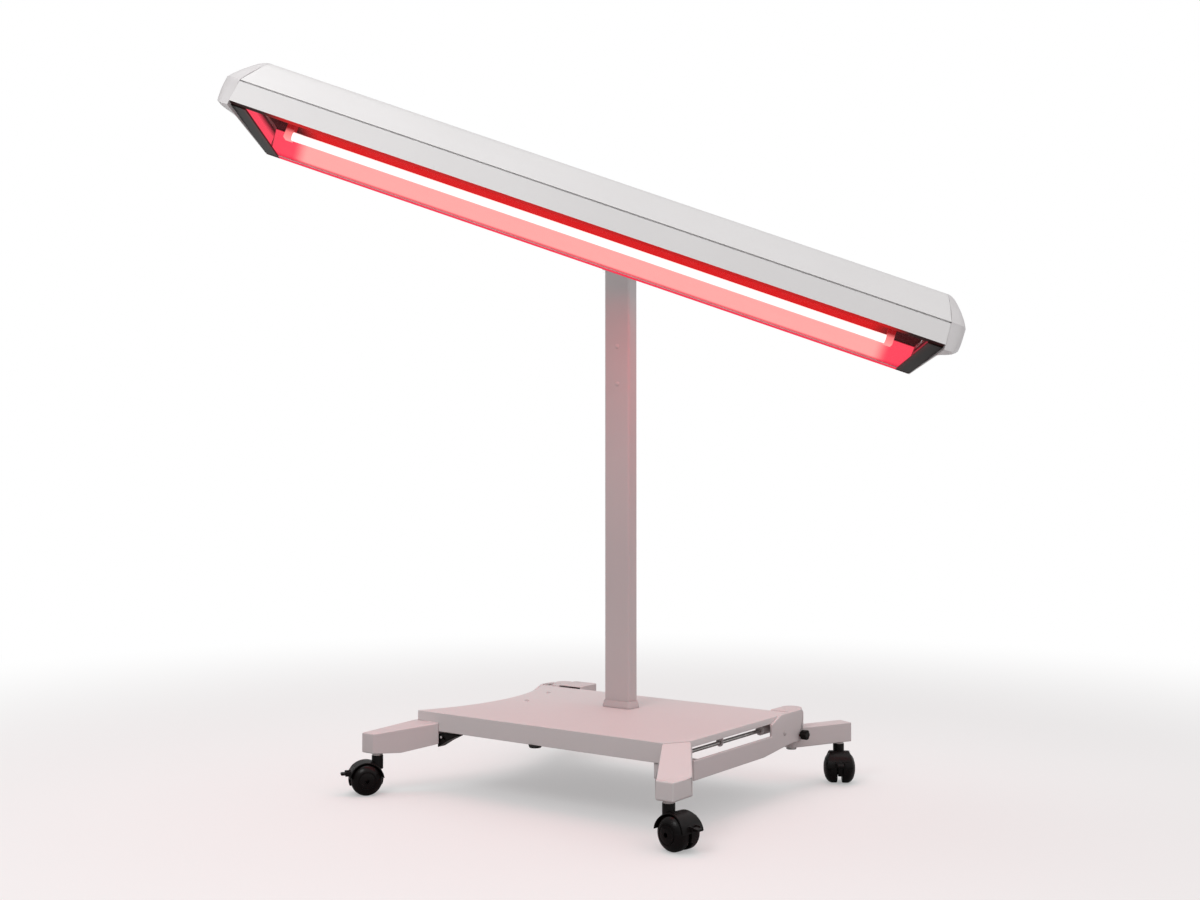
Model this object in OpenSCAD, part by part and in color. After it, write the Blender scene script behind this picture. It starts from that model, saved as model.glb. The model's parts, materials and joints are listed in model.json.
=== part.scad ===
/* [Deck] */
// Length of the deck, left to right
deck_l = 608; // [560:4:660]
// Reach of the deck in front of the post axis
deck_front = 266; // [250:2:280]
// Reach of the deck behind the post axis
deck_back = 137; // [125:1:145]
// Height of the deck's top face above the floor
deck_top = 154; // [150:1:165]
// Height of the folded skirt round the deck
skirt_h = 36; // [30:1:38]
// Height of the lip along the right side, above the window
lip_h = 12; // [8:1:16]
// Sheet thickness of the deck
deck_t = 2.5; // [1.5:0.5:4]
// Radius of the concave left edge
scallop_r = 396; // [380:2:420]
// How far the concave edge bites into the deck
scallop_bite = 54; // [30:2:70]
// Where the middle of the concave edge lies, from the post axis
scallop_y = -72; // [-90:2:-50]

/* [Arms] */
// Height of the arms' underside above the floor
arm_z = 79; // [77:1:81]
// Height of the rear arms' tube
arm_h = 38; // [34:1:38]
// Width of the rear arms' tube
arm_w = 36; // [30:1:40]
// Length of a rear arm from its pivot to its end
arm_l = 137; // [125:1:150]
// Distance from a rear arm's pivot to its caster stem
arm_stem = 118; // [105:1:120]
// How far the rear arms splay outwards, in degrees
arm_splay = 25; // [15:1:30]
// How far the rear pivots lie in from the deck's sides
pivot_in = 21; // [19:1:24]
// Distance of the rear pivots behind the deck's rear edge
pivot_back = 47; // [44:1:52]
// Radius of the rear pivot bolts' shank
pivot_r = 6; // [4:0.5:8]

/* [Casters] */
// Wheel radius
wheel_r = 30; // [26:1:32]
// Width of one wheel of the pair
wheel_w = 19; // [14:1:22]
// Trail from the stem's axis to the wheels' axle
trail = 22; // [18:1:26]
// Thickness of the web between the two wheels
web_t = 8; // [6:1:12]
// Radius of the axle
axle_r = 4; // [3:0.5:5]
// Radius of the swivel stem
stem_r = 5; // [4:0.5:6]

/* [Post] */
// Width of the post tube
post_w = 60; // [56:1:64]
// Depth of the post tube
post_d = 30; // [28:1:34]
// Outer corner radius of the post tube
post_r = 5; // [3:0.5:6]
// Wall of the post tube and of the mast
tube_t = 2; // [1.5:0.5:2.5]
// Length of the post tube above the deck
post_l = 900; // [860:5:940]
// Length of the sliding mast
mast_l = 530; // [500:5:560]
// Length of mast that stands out of the post at its lowest setting
mast_out = 16; // [12:1:24]
// Length of the clamp collar
collar_h = 24; // [20:1:40]

/* [Head] */
// Length of the head between its end caps
head_l = 1313; // [1280:1:1340]
// Width of the head at its lower edge
head_w = 288; // [280:1:300]
// Height of the roof's ridge above the lower edge
head_h = 126; // [122:1:130]
// Height of the groove between side panel and roof
groove_z = 44; // [40:1:48]
// How far the side panels lean inwards up to the groove
lean = 13; // [8:1:16]
// Width of the groove
groove_w = 3; // [2:0.5:4]
// Half the width of the rounded ridge
ridge_y = 60; // [50:1:66]
// Slope of the roof, in degrees
roof_slope = 39.7; // [38:0.1:41]
// Sheet thickness of the roof and side panels
shell_t = 2.5; // [1.5:0.5:3]
// Depth of the end caps
cap_d = 30; // [24:1:36]
// Wall of the end caps
cap_t = 3; // [2:0.5:4]
// Height of the reflector's ceiling
trough_z = 47; // [44:1:49]
// Radius of the lamp
lamp_r = 8; // [7:0.5:8]
// Length of the lamp
lamp_l = 1149; // [1130:1:1160]
// Height of the lamp's axis above the lower edge
lamp_z = 13; // [13:0.5:16]
// Thickness of the window pane
pane_t = 2.5; // [2:0.5:3]

/* [Head pose] */
// Turn of the head about the post, in degrees
head_yaw = 34.1; // [20:0.1:50]
// How far the right end hangs down, in degrees
head_roll = 19.2; // [0:0.1:30]
// How far the far side hangs down, in degrees
head_tilt = 6; // [0:0.5:10]
// Distance of the head's middle in front of the post axis
head_reach = 244.5; // [240:0.5:260]
// Distance of the roll axis above the head's lower edge
head_drop = 97; // [94:1:100]
// Offset of the roll axis along the head
head_shift = 32.6; // [20:0.1:40]
// Distance of the tilt pin in front of the post axis
tilt_reach = 139.5; // [135:0.5:142]
// Radius of the roll shaft
shaft_r = 9; // [8:0.5:10]

/* [Fits] */
// Radial clearance of pins, stems and axles
run_c = 0.06; // [0.03:0.01:0.1]
// Clearance between faces that move past each other
gap = 0.3; // [0.3:0.1:0.6]

/* [Hidden] */
$fn = 64;

white = "gainsboro";
mauve = "thistle";
black = [0.06, 0.06, 0.07];
steel = "silver";

skirt_z = deck_top - skirt_h;
sheet_z = deck_top - deck_t;
cut = 1;
// Corner of the deck that the right front arm takes away
corner_in = 30;
corner_back = 45;
// Caster stems, from the post axis
pivot_x = deck_l / 2 - pivot_in;
pivot_y = deck_back + pivot_back;
stem_fr = [deck_l / 2 + 31, -deck_front - 74];
stem_fl = [-deck_l / 2 - 33, -deck_front - 74];
stem_rr = [pivot_x + arm_stem * sin(arm_splay), pivot_y + arm_stem * cos(arm_splay)];
stem_rl = [-stem_rr[0], stem_rr[1]];
dir_fr = -10;
dir_fl = 231;
dir_rr = -60;
dir_rl = 190;
stem_z = 56;
socket_top = arm_z - 5;
hood_r = wheel_r + 3.5;
web_y = web_t / 2 + 0.6;
// Right side: outer face of the rail and its wall
rail_t = 6;
rail_x = deck_l / 2 + rail_t;
rail_top = 120;
rail_bottom = 85;
rail_front = -deck_front + corner_back + gap;
lug_top = deck_top + 2;
lug_end = pivot_y + 1;
lug_front = deck_back - 79;
lug_r = 10;
lug_w = 21;
web_lug_t = 4;
knob_y = pivot_y - 12;
knob_z = 107;
knob_hole = 4;
// Linkage rod under the right edge
rod_r = 3.5;
rod_x = deck_l / 2 - 22;
rod_z = 128;
rod_front = 38 - deck_front;
guide_front = lug_front;
guide_r = 9;
guide_hold = 40;
hanger_ys = [51 - deck_front, 176 - deck_front];
hanger_w = 14;
hanger_t = 3;
// Pedal beside the left front arm
pedal_x = 60 - deck_l / 2;
pedal_z = 106;
pedal_y = 4 - deck_front;
pedal_w = 22;
pedal_pin_r = 3;
pedal_reach = 40;
arm_left_x = pedal_x - 12;
// Hem under the front skirt
hem_d = 16;
bumper_x = -12;
bumper_y = 8 - deck_front;
// Inlet box behind the deck
inlet_w = 60;
inlet_d = 61;
inlet_t = 2.5;
inlet_x = 42 - deck_l / 2;
inlet_z = 122;
inlet_hole = [28, 21];
rocker_hole = [14, 20];
rocker_x = inlet_x + 40;
inlet_front = deck_back + inlet_d;
trunnion_r = 1.5;
// Levels of the post and mast
post_top = deck_top + post_l;
post_screw_zs = [post_top - 257, post_top - 182];
deck_screws = [[106 - deck_l / 2, scallop_y + 19], [77 - deck_l / 2, deck_back - 81]];
foot_out = 9;
flange_t = 3;
mast_top = post_top + flange_t + mast_out - 3;
mast_w = post_w - 2 * tube_t - 4;
mast_d = post_d - 2 * tube_t - 4;
bush_l = 70;
collar_top = post_top - 2;
collar_wall = 6;
clamp_z = collar_top - collar_h / 2;
stud_r = 4;
// Parts above the mast
head_plate_h = 18;
plate_top = mast_top + head_plate_h;
spindle_r = 7;
spindle_l = 29;
plug_l = 34;
barrel_r = 22;
barrel_l = 60;
disc_h = 12;
roll_z = plate_top + gap + disc_h + barrel_r - 2.3;
tilt_pin_r = 5;
knuckle_r = 12;
knuckle_w = 22;
ear_t = 6;
// Head section
half_w = head_w / 2;
edge_y = half_w - lean;
ridge_r = ridge_y / sin(roof_slope);
ridge_c = head_h - ridge_r;
half_l = head_l / 2;
ridge_steps = 12;
flange_in = 18;
flange_z = 1.5;
pane_z = flange_z;
reflector_t = 1.5;
ballast_size = [220, 42, 28];
ballast_x = -310;
bar_w = 27;
socket_t = 14;
// Tilt pin, in the head's own frame
pin_local = [head_shift,
    (head_reach - tilt_reach) * cos(head_tilt) - head_drop * sin(head_tilt),
    (head_reach - tilt_reach) * sin(head_tilt) + head_drop * cos(head_tilt)];
// Roof height at a distance from the ridge line, on the straight slope
function roof_at(y) = ridge_c + ridge_r * cos(roof_slope) - (y - ridge_y) * tan(roof_slope);
pin_over_roof = (pin_local[2] - roof_at(pin_local[1])) * cos(roof_slope);
bracket_t = 5;
bracket_l = 96;
bracket_w = 70;
bolt_r = 3;

// A rounded rectangle round the origin
module rrect(w, d, r) {
    square([w - 2 * r, d], center = true);
    square([w, d - 2 * r], center = true);
    for (x = [-1, 1], y = [-1, 1])
        translate([x * (w / 2 - r), y * (d / 2 - r)]) circle(r);
}

// Places its children at the right or the left side of the base
module side(s) {
    if (s > 0) children();
    else mirror([1, 0, 0]) children();
}

// Plan of the deck, drawn in by a wall
module deck_plan(inset = 0) {
    difference() {
        translate([-deck_l / 2 + inset, -deck_front + inset])
            square([deck_l - 2 * inset, deck_front + deck_back - 2 * inset]);
        translate([-deck_l / 2 - scallop_r + scallop_bite, scallop_y])
            circle(scallop_r + inset, $fn = 180);
    }
}

// The corner that the right front arm fills
module corner_cut(h) {
    translate([0, 0, skirt_z - cut])
        linear_extrude(h + 2 * cut)
            polygon([[deck_l / 2 - corner_in, -deck_front - cut],
                [deck_l / 2 + cut, -deck_front - cut],
                [deck_l / 2 + cut, -deck_front + corner_back],
                [deck_l / 2, -deck_front + corner_back],
                [deck_l / 2 - corner_in, -deck_front]]);
}

// Pressed deck with its skirt, open below and with a window on the right
module deck() {
    color(mauve) difference() {
        union() {
            difference() {
                translate([0, 0, skirt_z]) linear_extrude(skirt_h) deck_plan();
                translate([0, 0, skirt_z - cut]) linear_extrude(skirt_h - deck_t + cut)
                    deck_plan(deck_t);
                // Window under the right lip
                translate([deck_l / 2 - 2 * deck_t, -deck_front + corner_back + 4, skirt_z - cut])
                    cube([4 * deck_t, deck_front + deck_back - corner_back - 8,
                        skirt_h - lip_h + cut]);
            }
            // Hem folded in under the front skirt
            translate([pedal_x + pedal_reach, -deck_front + deck_t / 2, skirt_z])
                cube([2 * abs(pedal_x) - pedal_reach, hem_d, deck_t]);
        }
        corner_cut(skirt_h);
        arm_left_body();
        translate([bumper_x, bumper_y, skirt_z - cut]) cylinder(r = 3, h = deck_t + 2 * cut);
    }
}

// Outer wall of the lug on either side, as a profile along the base
module lug_wall(front, with_rail) {
    rotate([90, 0, 90]) linear_extrude(rail_t) {
        polygon(concat(
            with_rail ? [[rail_front, rail_bottom], [lug_front - 30, rail_bottom]]
                : [[front, rail_bottom + 10]],
            [[lug_front + 32, rail_bottom + 6], [deck_back + 3, rail_bottom + 10],
                [lug_end, rail_bottom + 10],
                [lug_end, lug_top - lug_r], [lug_end - lug_r, lug_top], [front + 37, lug_top],
                [front, deck_top - lip_h]],
            with_rail ? [[front, rail_top], [rail_front, rail_top]] : []));
        translate([lug_end - lug_r, lug_top - lug_r]) circle(lug_r);
    }
}

// Lug that carries a rear arm: outer wall, top web, inner wall and pivot boss
module lug(front, with_rail) {
    web_in = pivot_x - lug_w;
    difference() {
        union() {
            translate([deck_l / 2, 0, 0]) lug_wall(front, with_rail);
            translate([web_in, deck_back, lug_top - web_lug_t])
                cube([deck_l / 2 - web_in + cut, lug_end - deck_back - lug_r, web_lug_t]);
            translate([pivot_x, pivot_y, lug_top - web_lug_t])
                cylinder(r = pivot_x - web_in, h = web_lug_t);
            translate([web_in, deck_back, skirt_z + 3])
                cube([web_lug_t, 28, lug_top - skirt_z - 3]);
            translate([pivot_x, pivot_y, arm_z + arm_h + gap])
                cylinder(r = 13, h = lug_top - arm_z - arm_h - gap);
        }
        translate([pivot_x, pivot_y, arm_z])
            cylinder(r = pivot_r + run_c, h = lug_top - arm_z - 8);
        translate([deck_l / 2 - cut, knob_y, knob_z]) rotate([0, 90, 0])
            cylinder(r = knob_hole + run_c, h = rail_t + 2 * cut);
    }
}

module side_rail_right() {
    color(mauve) lug(lug_front, true);
}

module lug_left() {
    color(mauve) mirror([1, 0, 0]) lug(deck_back - 40, false);
}

// Right front arm: flush with the deck at its root and sloping down to its caster
module front_arm_right() {
    root = [deck_l / 2 - corner_in, -deck_front];
    turn = atan2(corner_back, corner_in);
    end_top = 113;
    slope = 25;
    color(mauve) difference() {
        union() {
            difference() {
                translate([0, 0, arm_z]) linear_extrude(deck_top - arm_z)
                    polygon([root, [deck_l / 2, -deck_front + corner_back],
                        [stem_fr[0] + 21, stem_fr[1] + 41], [stem_fr[0] + 21, stem_fr[1] - 18],
                        [stem_fr[0] - 15, stem_fr[1] - 18]]);
                intersection() {
                    translate([root[0], root[1], deck_top]) rotate([0, 0, turn])
                        rotate([slope, 0, 0]) translate([-100, -300, 0]) cube([300, 300, 200]);
                    translate([root[0] - 100, root[1] - 300, end_top]) cube([400, 500, 200]);
                }
            }
            // Root block under the deck
            translate([root[0] - 22, root[1] + 4, arm_z + 10])
                cube([22 + corner_in, 72, skirt_z - arm_z - 10]);
        }
        translate([stem_fr[0], stem_fr[1], arm_z - cut]) cylinder(r = stem_r + run_c, h = 28 + cut);
        // Hollow underside between root and stem
        translate([root[0] + 12, root[1] + 6, arm_z - cut]) rotate([0, 0, -60])
            translate([0, -13, 0]) cube([62, 26, 24 + cut]);
    }
}

// Left front arm before its bores, also cut out of the deck's skirt
module arm_left_body() {
    end_top = 117;
    root_top = 135;
    end_y = stem_fl[1] - 18;
    under_rise = 16;
    rise = atan2(root_top - end_top, -deck_front - end_y);
    difference() {
        translate([0, 0, arm_z]) linear_extrude(root_top - arm_z)
            polygon([[stem_fl[0] - 25, end_y], [stem_fl[0] + 5, end_y],
                [pedal_x, -deck_front], [arm_left_x, -deck_front + 4],
                [arm_left_x, -deck_front + 62], [arm_left_x - 23, -deck_front + 62],
                [arm_left_x - 34, -deck_front + 34]]);
        translate([stem_fl[0] - 100, end_y, end_top]) rotate([rise, 0, 0])
            cube([300, 300, 100]);
        // The underside rises from the stem to the root
        translate([stem_fl[0] - 100, stem_fl[1] + 22, arm_z]) rotate([under_rise, 0, 0])
            translate([0, 0, -100]) cube([300, 300, 100]);
    }
}

module front_arm_left() {
    color(mauve) difference() {
        union() {
            arm_left_body();
            // Ear and pin of the pedal
            translate([arm_left_x - cut, pedal_y + pedal_w + 2, pedal_z - 8])
                cube([19 + cut, 5, 16]);
            translate([pedal_x, pedal_y, pedal_z]) rotate([-90, 0, 0])
                cylinder(r = pedal_pin_r, h = pedal_w + 4);
        }
        translate([stem_fl[0], stem_fl[1], arm_z - cut]) cylinder(r = stem_r + run_c, h = 28 + cut);
        translate([stem_fl[0] + 12, stem_fl[1] + 14, arm_z - cut]) rotate([0, 0, 45])
            translate([0, -9, 0]) cube([70, 18, 24 + cut]);
    }
}

// Black pedal that swings about the pin on the left front arm
module lock_pedal() {
    color(black) difference() {
        translate([0, pedal_y + pedal_w, 0]) rotate([90, 0, 0]) linear_extrude(pedal_w)
            translate([pedal_x, pedal_z])
                polygon([[-8, -20], [-8, -4], [-5, 6], [14, 8.5], [pedal_reach - 1, 9.5],
                    [pedal_reach, 5.5], [16, -6]]);
        translate([pedal_x, pedal_y - cut, pedal_z]) rotate([-90, 0, 0])
            cylinder(r = pedal_pin_r + run_c, h = pedal_w + 2 * cut);
    }
}

// Level rod under the right edge
module linkage_rod() {
    color(steel) translate([rod_x, rod_front, rod_z]) rotate([-90, 0, 0])
        cylinder(r = rod_r, h = guide_front + guide_hold - rod_front);
}

// Two straps under the deck and the guide tube at the back
module rod_hangers() {
    color(mauve) {
        for (y = hanger_ys) difference() {
            union() {
                translate([rod_x - hanger_w / 2, y, rod_z]) cube([hanger_w, hanger_t, sheet_z - rod_z]);
                translate([rod_x, y, rod_z]) rotate([-90, 0, 0])
                    cylinder(r = hanger_w / 2, h = hanger_t);
            }
            translate([rod_x, y - cut, rod_z]) rotate([-90, 0, 0])
                cylinder(r = rod_r + run_c, h = hanger_t + 2 * cut);
        }
        translate([rod_x, guide_front, rod_z]) rotate([-90, 0, 0]) difference() {
            cylinder(r = guide_r, h = deck_back - deck_t - guide_front);
            translate([0, 0, -cut]) cylinder(r = rod_r + run_c, h = guide_hold + 2 * cut);
        }
    }
}

// Rubber bumper under the front hem
module bumper() {
    color(black) translate([bumper_x, bumper_y, skirt_z]) {
        translate([0, 0, -5.5]) cylinder(r1 = 11, r2 = 13, h = 5.5);
        translate([0, 0, -cut]) cylinder(r = 3, h = deck_t + cut);
        translate([0, 0, deck_t]) cylinder(r1 = 5, r2 = 3, h = 3);
    }
}

// A button-head screw standing on the plane z = 0, head up
module button_screw(r = 5, h = 2.6) {
    intersection() {
        translate([0, 0, h - 1.6 * r]) sphere(1.6 * r, $fn = 48);
        cylinder(r = r, h = h);
    }
}

// Screws of one size on the post, the rail and the deck
module button_screws() {
    color(steel) {
        for (z = post_screw_zs) translate([2, -post_d / 2, z]) rotate([90, 0, 0]) button_screw();
        translate([rail_x, lug_front + 49, rail_top - 1]) rotate([0, 90, 0]) button_screw();
        for (p = deck_screws) translate([p[0], p[1], deck_top]) button_screw();
    }
}

// Cover of the mains inlet behind the deck
module inlet_cover() {
    h = deck_top - inlet_z;
    color(mauve) difference() {
        translate([inlet_x + inlet_w / 2, 0, inlet_z]) linear_extrude(h) {
            translate([0, deck_back + inlet_d / 2]) rrect(inlet_w, inlet_d, 6);
            translate([-inlet_w / 2, deck_back]) square([inlet_w, 10]);
        }
        translate([inlet_x + inlet_t, deck_back - cut, inlet_z - cut])
            cube([inlet_w - 2 * inlet_t, inlet_d - inlet_t + cut, h - inlet_t + cut]);
        translate([inlet_x + 6, inlet_front - 2 * inlet_t, inlet_z + 5])
            cube([inlet_hole[0], 4 * inlet_t, inlet_hole[1]]);
        translate([rocker_x, inlet_front - 2 * inlet_t, inlet_z + 5])
            cube([rocker_hole[0], 4 * inlet_t, rocker_hole[1]]);
    }
}

// Appliance inlet with its flange, socket and three pins, and the switch frame beside it
module power_inlet() {
    w = inlet_hole[0];
    h = inlet_hole[1];
    color(black) {
        translate([inlet_x + 6, inlet_front, inlet_z + 5]) difference() {
            union() {
                translate([-2, 0, -2]) cube([w + 4, 1.5, h + 4]);
                translate([0.2, -20, 0.2]) cube([w - 0.4, 20, h - 0.4]);
            }
            translate([2, -16, 3]) cube([w - 4, 16 + 2 * cut, h - 6]);
        }
        for (i = [-1, 0, 1]) translate([inlet_x + 6 + w / 2 + 7 * i - 1, inlet_front - 16 - cut,
            inlet_z + 5 + h / 2 - 2 + (i == 0 ? 2 : -1)]) cube([2, 14, 4]);
        translate([rocker_x, inlet_front, inlet_z + 5]) difference() {
            union() {
                translate([-2, 0, -2]) cube([rocker_hole[0] + 4, 1.5, rocker_hole[1] + 4]);
                translate([0.2, -18, 0.2]) cube([rocker_hole[0] - 0.4, 18, rocker_hole[1] - 0.4]);
            }
            translate([2, -14, 1]) cube([rocker_hole[0] - 4, 14 + 2 * cut, rocker_hole[1] - 2]);
            translate([0.8, -5, rocker_hole[1] / 2]) rotate([0, 90, 0])
                cylinder(r = trunnion_r + run_c, h = rocker_hole[0] - 1.6);
        }
    }
}

// Rocker of the mains switch, on two short trunnions
module rocker() {
    zc = inlet_z + 5 + rocker_hole[1] / 2;
    color("crimson") translate([rocker_x + rocker_hole[0] / 2, inlet_front - 5, zc])
        rotate([90, 0, 90]) {
            linear_extrude(rocker_hole[0] - 4 - 2 * gap, center = true)
                polygon([[7.5, -7], [7.5, 0], [5.5, 8], [-2, 8], [-2, -7]]);
            cylinder(r = trunnion_r, h = rocker_hole[0] - 2.2, center = true);
        }
}

// Cast foot round the bottom of the post
module post_foot() {
    color(mauve) difference() {
        hull($fn = 32) {
            translate([0, 0, deck_top]) linear_extrude(3) rrect(post_w + foot_out, post_d + foot_out, 8, $fn = 32);
            translate([0, 0, deck_top + 13]) linear_extrude(1) rrect(post_w + 3, post_d + 3, 6, $fn = 32);
        }
        translate([0, 0, deck_top - cut]) linear_extrude(14 + 2 * cut) rrect(post_w, post_d, post_r);
    }
}

module post_tube() {
    color(mauve) difference() {
        translate([0, 0, deck_top]) linear_extrude(post_l) rrect(post_w, post_d, post_r);
        translate([0, 0, deck_top - cut]) linear_extrude(post_l + 2 * cut)
            rrect(post_w - 2 * tube_t, post_d - 2 * tube_t, post_r - tube_t);
        translate([0, 0, clamp_z]) rotate([-90, 0, 0]) cylinder(r = stud_r + 0.5, h = post_d);
    }
}

// Plastic guide between post and mast
module post_bush() {
    color(black) difference() {
        union() {
            translate([0, 0, post_top - bush_l]) linear_extrude(bush_l)
                rrect(post_w - 2 * tube_t, post_d - 2 * tube_t, post_r - tube_t);
            translate([0, 0, post_top]) linear_extrude(flange_t) rrect(post_w, post_d, post_r);
        }
        translate([0, 0, post_top - bush_l - cut]) linear_extrude(bush_l + flange_t + 2 * cut)
            rrect(mast_w + 2 * run_c, mast_d + 2 * run_c, post_r - tube_t);
        translate([0, 0, clamp_z]) rotate([-90, 0, 0]) cylinder(r = stud_r + 0.5, h = post_d);
    }
}

// Collar that carries the height clamp
module clamp_collar() {
    color(mauve) difference() {
        union() {
            translate([0, 0, collar_top - collar_h]) linear_extrude(collar_h)
                rrect(post_w + 2 * collar_wall, post_d + 2 * collar_wall, post_r + collar_wall);
            translate([0, post_d / 2, clamp_z]) rotate([-90, 0, 0]) cylinder(r = 12, h = 16);
        }
        translate([0, 0, collar_top - collar_h - cut]) linear_extrude(collar_h + 2 * cut)
            rrect(post_w, post_d, post_r);
        translate([0, 0, clamp_z]) rotate([-90, 0, 0])
            cylinder(r = stud_r + run_c, h = post_d + 20);
    }
}

// Fluted hand knob on its stud: the stud points down, the grip up from z = 0
module hand_knob(r, h, stud, stud_l, lobes) {
    difference() {
        union() {
            cylinder(r = r, h = h);
            translate([0, 0, -3]) cylinder(r = r * 0.5, h = 3 + cut);
            translate([0, 0, -stud_l]) cylinder(r = stud, h = stud_l + cut);
        }
        for (i = [0:lobes - 1]) rotate([0, 0, i * 360 / lobes])
            translate([r * 1.18, 0, -cut]) cylinder(r = r * 0.32, h = h + 2 * cut);
    }
}

module height_knob() {
    color(black) translate([0, post_d / 2 + 16 + 3 + gap, clamp_z]) rotate([-90, 0, 0])
        hand_knob(20, 18, stud_r, post_d / 2 + 19 - mast_d / 2 - gap, 6);
}

// Shoulder bolts of the two rear arms
module rear_pivot_bolts() {
    color(steel) for (s = [-1, 1]) translate([s * pivot_x, pivot_y, 0]) {
        translate([0, 0, arm_z - 5 - gap]) cylinder(r = 10, h = 5);
        translate([0, 0, arm_z - gap - cut])
            cylinder(r = pivot_r, h = lug_top - arm_z - 10 + gap + cut);
    }
}

// Rear arm: a channel with a round knuckle, turning on the pivot bolt
module rear_arm() {
    difference() {
        union() {
            cylinder(r = arm_w / 2, h = arm_h);
            translate([-arm_w / 2, 0, 0]) cube([arm_w, arm_l, arm_h]);
        }
        translate([0, 0, -cut]) cylinder(r = pivot_r + run_c, h = arm_h + 2 * cut);
        translate([-arm_w / 2 + 3, 20, -cut]) cube([arm_w - 6, arm_stem - 34, arm_h - 3 + cut]);
        translate([0, arm_stem, -cut]) cylinder(r = stem_r + run_c, h = 28 + cut);
    }
}

module rear_arm_at(s) {
    color(mauve) side(s) translate([pivot_x, pivot_y, arm_z]) rotate([0, 0, -arm_splay]) rear_arm();
}

module rear_arm_right() {
    rear_arm_at(1);
}

module rear_arm_left() {
    rear_arm_at(-1);
}

// Thumb knob that locks a rear arm through the lug's outer wall
module arm_knob(s) {
    color(black) side(s) translate([rail_x + 3 + gap, knob_y, knob_z]) rotate([0, 90, 0])
        hand_knob(9.5, 12, knob_hole, rail_t + 4, 6);
}

module arm_knob_right() {
    arm_knob(1);
}

module arm_knob_left() {
    arm_knob(-1);
}

// Caster frame: origin under the stem, wheels trailing along +X
module caster(at, dir) {
    translate([at[0], at[1], 0]) rotate([0, 0, dir]) children();
}

module caster_stem(at, dir) {
    color(steel) caster(at, dir) {
        translate([0, 0, socket_top + gap]) cylinder(r = 10, h = arm_z - socket_top - gap);
        translate([0, 0, stem_z]) cylinder(r = stem_r, h = arm_z + 27 - stem_z);
    }
}

// Hood: web, axle, mudguard, stem socket and the ears of the brake lever
module caster_hood(at, dir) {
    w = 2 * (web_y + wheel_w) + 3;
    color(black) caster(at, dir) difference() {
        union() {
            difference() {
                translate([trail, 0, wheel_r]) rotate([90, 0, 0])
                    cylinder(r = hood_r, h = w, center = true);
                translate([trail, 0, wheel_r]) rotate([90, 0, 0])
                    cylinder(r = hood_r - 2, h = w + 2 * cut, center = true);
                translate([trail - 60, -w, -60]) cube([120, 2 * w, 60 + wheel_r + 4]);
            }
            intersection() {
                translate([trail, 0, wheel_r]) rotate([90, 0, 0])
                    cylinder(r = hood_r, h = web_t, center = true);
                translate([trail - 60, -w, wheel_r - 12]) cube([120, 2 * w, 60]);
            }
            translate([trail, 0, wheel_r]) rotate([90, 0, 0])
                cylinder(r = axle_r, h = w - 4, center = true);
            translate([0, 0, 48]) cylinder(r = 11, h = socket_top - 48);
            translate([-2, -web_t / 2, 42]) cube([trail, web_t, 20]);
            for (y = [7, -9.5]) translate([trail + 28, y, 37]) cube([12, 2.5, 9]);
            translate([trail + 37, 0, 41]) rotate([90, 0, 0]) cylinder(r = 2, h = 18, center = true);
        }
        translate([0, 0, stem_z - gap])
            cylinder(r = stem_r + run_c, h = socket_top - stem_z + gap + cut);
        for (s = [-1, 1]) translate([trail, s * (web_y + wheel_w / 2 - 0.4), wheel_r])
            rotate([90, 0, 0]) difference() {
                cylinder(r = hood_r - 2, h = wheel_w + 0.8, center = true);
                cylinder(r = axle_r, h = wheel_w + 4, center = true);
            }
    }
}

// Two wheels of a caster with domed outer faces
module caster_wheels(at, dir) {
    dome = 7;
    color(black) caster(at, dir) translate([trail, 0, wheel_r])
        for (s = [0, 1]) mirror([0, s, 0]) translate([0, web_y, 0]) rotate([-90, 0, 0])
            rotate_extrude() {
                difference() {
                    union() {
                        translate([axle_r + run_c, 0])
                            square([wheel_r - dome - axle_r - run_c, wheel_w]);
                        translate([axle_r + run_c, 0])
                            square([wheel_r - axle_r - run_c, wheel_w - dome]);
                        translate([wheel_r - dome, wheel_w - dome]) circle(dome);
                    }
                    translate([12, wheel_w - 2]) square([5, 4]);
                    translate([-20, -20]) square([20 + axle_r + run_c, 60]);
                }
            }
}

// Brake tab that turns on the pin between the hood's ears
module caster_brake(at, dir) {
    color(black) caster(at, dir) translate([trail + 37, 0, 41]) rotate([90, 0, 0]) difference() {
        union() {
            cylinder(r = 3.2, h = 13.4, center = true);
            translate([0, -2.4, -6.7]) cube([9, 4.8, 13.4]);
            translate([9, 0, 0]) cylinder(r = 2.4, h = 13.4, center = true);
        }
        cylinder(r = 2 + run_c, h = 20, center = true);
    }
}

module stem_front_right() { caster_stem(stem_fr, dir_fr); }
module stem_front_left() { caster_stem(stem_fl, dir_fl); }
module stem_rear_right() { caster_stem(stem_rr, dir_rr); }
module stem_rear_left() { caster_stem(stem_rl, dir_rl); }
module hood_front_right() { caster_hood(stem_fr, dir_fr); }
module hood_front_left() { caster_hood(stem_fl, dir_fl); }
module hood_rear_right() { caster_hood(stem_rr, dir_rr); }
module hood_rear_left() { caster_hood(stem_rl, dir_rl); }
module wheels_front_right() { caster_wheels(stem_fr, dir_fr); }
module wheels_front_left() { caster_wheels(stem_fl, dir_fl); }
module wheels_rear_right() { caster_wheels(stem_rr, dir_rr); }
module wheels_rear_left() { caster_wheels(stem_rl, dir_rl); }
module brake_front_right() { caster_brake(stem_fr, dir_fr); }
module brake_front_left() { caster_brake(stem_fl, dir_fl); }
module brake_rear_right() { caster_brake(stem_rr, dir_rr); }
module brake_rear_left() { caster_brake(stem_rl, dir_rl); }

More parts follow.
